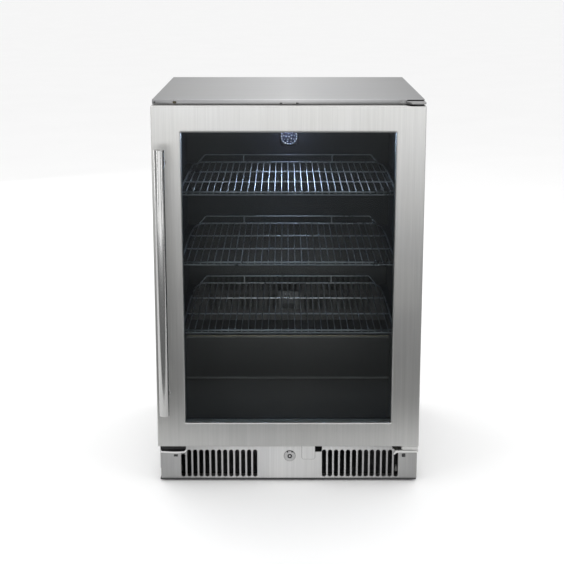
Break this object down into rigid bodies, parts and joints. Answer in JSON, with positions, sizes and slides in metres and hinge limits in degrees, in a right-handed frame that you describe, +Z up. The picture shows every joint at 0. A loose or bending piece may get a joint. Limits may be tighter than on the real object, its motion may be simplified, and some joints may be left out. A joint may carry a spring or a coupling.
{
  "type": "undercounter refrigerator",
  "caption": "Box-shaped undercounter refrigerator with a framed glass door, tube handle, wire shelves, slotted kick plate and keyed lock.",
  "frame": {"origin": "on the floor, under the middle of the object's bounding box", "axes": "+Z up, -Y towards the door side, +X to the right seen from the front"},
  "size_m": [0.595, 0.637, 0.884],
  "materials": {
    "stainless": "satin",
    "galvanised": "matte",
    "black_steel": "satin",
    "black_plastic": "satin",
    "grey_plastic": "satin",
    "foam": "matte",
    "rubber": "matte",
    "chrome": "polished",
    "aluminium": "satin",
    "copper": "satin",
    "glass": "polished",
    "lens": "gloss"
  },
  "bodies": {
    "cabinet": {"back_panel": "galvanised", "base_pan": "black_steel", "cabinet_underside": "galvanised", "capillary_tube": "copper", "compressor": "black_steel", "compressor_mount": "rubber", "condenser_coil": "black_steel", "condenser_fan_motor": "black_steel", "condenser_fan_shroud": "black_steel", "control_box": "grey_plastic", "discharge_tube": "copper", "drain_pan": "black_plastic", "duct_cover": "black_plastic", "duct_screw_left": "chrome", "duct_screw_right": "chrome", "evaporator_coil": "aluminium", "evaporator_fan_motor": "grey_plastic", "face_frame": "stainless", "filter_drier": "copper", "hinge_plate_bottom": "galvanised", "hinge_plate_top": "galvanised", "hinge_screw_top": "chrome", "insulation_foam": "foam", "kick_plate": "stainless", "kick_plate_screw": "black_steel", "lamp_housing": "grey_plastic", "lamp_lens": "lens", "liner": "black_plastic", "liquid_tube": "copper", "lock_barrel": "chrome", "power_inlet": "black_plastic", "rear_grille": "black_steel", "side_panel_left": "stainless", "side_panel_right": "stainless", "suction_tube": "copper", "tab_plate": "stainless", "top_cover": "stainless"},
    "door": {"door_skin": "stainless", "door_inner_frame": "black_plastic", "glass_outer": "glass", "glass_spacer": "aluminium", "glass_inner": "glass", "door_gasket": "rubber", "hinge_bush_top": "black_plastic", "hinge_bush_bottom": "grey_plastic", "handle_bar": "stainless", "handle_post_lower": "stainless", "handle_post_upper": "stainless"},
    "lock": {"lock_core": "chrome", "lock_cam": "galvanised"},
    "evaporator_fan_rotor": {"evaporator_fan": "black_plastic"},
    "condenser_fan_rotor": {"condenser_fan": "black_plastic"},
    "shelf_upper_body": {"shelf_upper": "chrome"},
    "shelf_middle_body": {"shelf_middle": "chrome"},
    "shelf_lower_body": {"shelf_lower": "chrome"},
    "foot_front_left_body": {"foot_front_left": "galvanised"},
    "foot_front_right_body": {"foot_front_right": "galvanised"},
    "foot_rear_left_body": {"foot_rear_left": "galvanised"},
    "foot_rear_right_body": {"foot_rear_right": "galvanised"}
  },
  "joints": [
    {"name": "door_hinge", "type": "hinge", "parent": "cabinet", "child": "door", "pos_m": [0.283, -0.2325, 0.095], "axis": [0, 0, 1], "range_deg": [0, 110]},
    {"name": "lock_turn", "type": "hinge", "parent": "cabinet", "child": "lock", "pos_m": [0.0034, -0.2225, 0.0627], "axis": [0, 1, 0], "range_deg": [0, 90]},
    {"name": "evaporator_fan_spin", "type": "hinge", "parent": "cabinet", "child": "evaporator_fan_rotor", "pos_m": [0.002, 0.2755, 0.303], "axis": [0, 1, 0], "continuous": true},
    {"name": "condenser_fan_spin", "type": "hinge", "parent": "cabinet", "child": "condenser_fan_rotor", "pos_m": [-0.186, 0.2405, 0.105], "axis": [1, 0, 0], "continuous": true},
    {"name": "shelf_upper_slide", "type": "slide", "parent": "cabinet", "child": "shelf_upper_body", "axis": [0, -1, 0], "range_m": [0, 0.02]},
    {"name": "shelf_middle_slide", "type": "slide", "parent": "cabinet", "child": "shelf_middle_body", "axis": [0, -1, 0], "range_m": [0, 0.02]},
    {"name": "shelf_lower_slide", "type": "slide", "parent": "cabinet", "child": "shelf_lower_body", "axis": [0, -1, 0], "range_m": [0, 0.02]},
    {"name": "foot_front_left_thread", "type": "slide", "parent": "cabinet", "child": "foot_front_left_body", "axis": [0, 0, -1], "range_m": [0, 0.02]},
    {"name": "foot_front_right_thread", "type": "slide", "parent": "cabinet", "child": "foot_front_right_body", "axis": [0, 0, -1], "range_m": [0, 0.02]},
    {"name": "foot_rear_left_thread", "type": "slide", "parent": "cabinet", "child": "foot_rear_left_body", "axis": [0, 0, -1], "range_m": [0, 0.02]},
    {"name": "foot_rear_right_thread", "type": "slide", "parent": "cabinet", "child": "foot_rear_right_body", "axis": [0, 0, -1], "range_m": [0, 0.02]}
  ]
}
